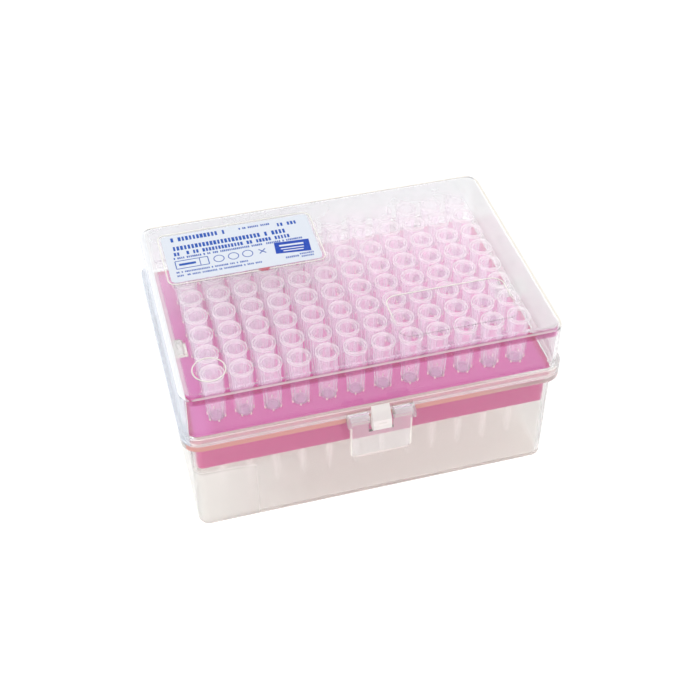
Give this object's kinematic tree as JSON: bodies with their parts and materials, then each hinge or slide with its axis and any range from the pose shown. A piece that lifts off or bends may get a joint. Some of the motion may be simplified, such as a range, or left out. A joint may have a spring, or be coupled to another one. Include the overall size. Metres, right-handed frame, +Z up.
{
  "type": "pipette tip box",
  "caption": "Hinged box of filter pipette tips: frosted base, pink rack with standing tips, clear lid with a swinging front latch and a printed label.",
  "frame": {"origin": "centre of the base's underside, which stands on the table", "axes": "+X along the long side, to the right as seen from the latch; +Y from the latch to the hinges; +Z up"},
  "size_m": [0.1244, 0.0969, 0.0611],
  "materials": {
    "frosted_plastic": "frosted, milky",
    "pink_plastic": "satin",
    "clear_plastic": "clear, polished",
    "label_paper": "smooth sticker",
    "tip_plastic": "natural, translucent",
    "filter_plug": "sintered, porous"
  },
  "bodies": {
    "base": {"base": "frosted_plastic", "rack": "pink_plastic", "tips_row_a": "tip_plastic", "tips_row_b": "tip_plastic", "tips_row_c": "tip_plastic", "tips_row_d": "tip_plastic", "tips_row_e": "tip_plastic", "tips_row_f": "tip_plastic", "tips_row_g": "tip_plastic", "tips_row_h": "tip_plastic", "filters_row_a": "filter_plug", "filters_row_b": "filter_plug", "filters_row_c": "filter_plug", "filters_row_d": "filter_plug", "filters_row_e": "filter_plug", "filters_row_f": "filter_plug", "filters_row_g": "filter_plug", "filters_row_h": "filter_plug"},
    "lid": {"lid": "clear_plastic", "label": "label_paper"},
    "latch": {"latch": "clear_plastic"}
  },
  "joints": [
    {"name": "lid_hinge", "type": "hinge", "parent": "base", "child": "lid", "pos_m": [0, 0.0466, 0.0406], "axis": [-1, 0, 0], "range_deg": [0, 110]},
    {"name": "latch_hinge", "type": "hinge", "parent": "lid", "child": "latch", "pos_m": [0, -0.0458, 0.0405], "axis": [-1, 0, 0], "range_deg": [0, 100]}
  ]
}
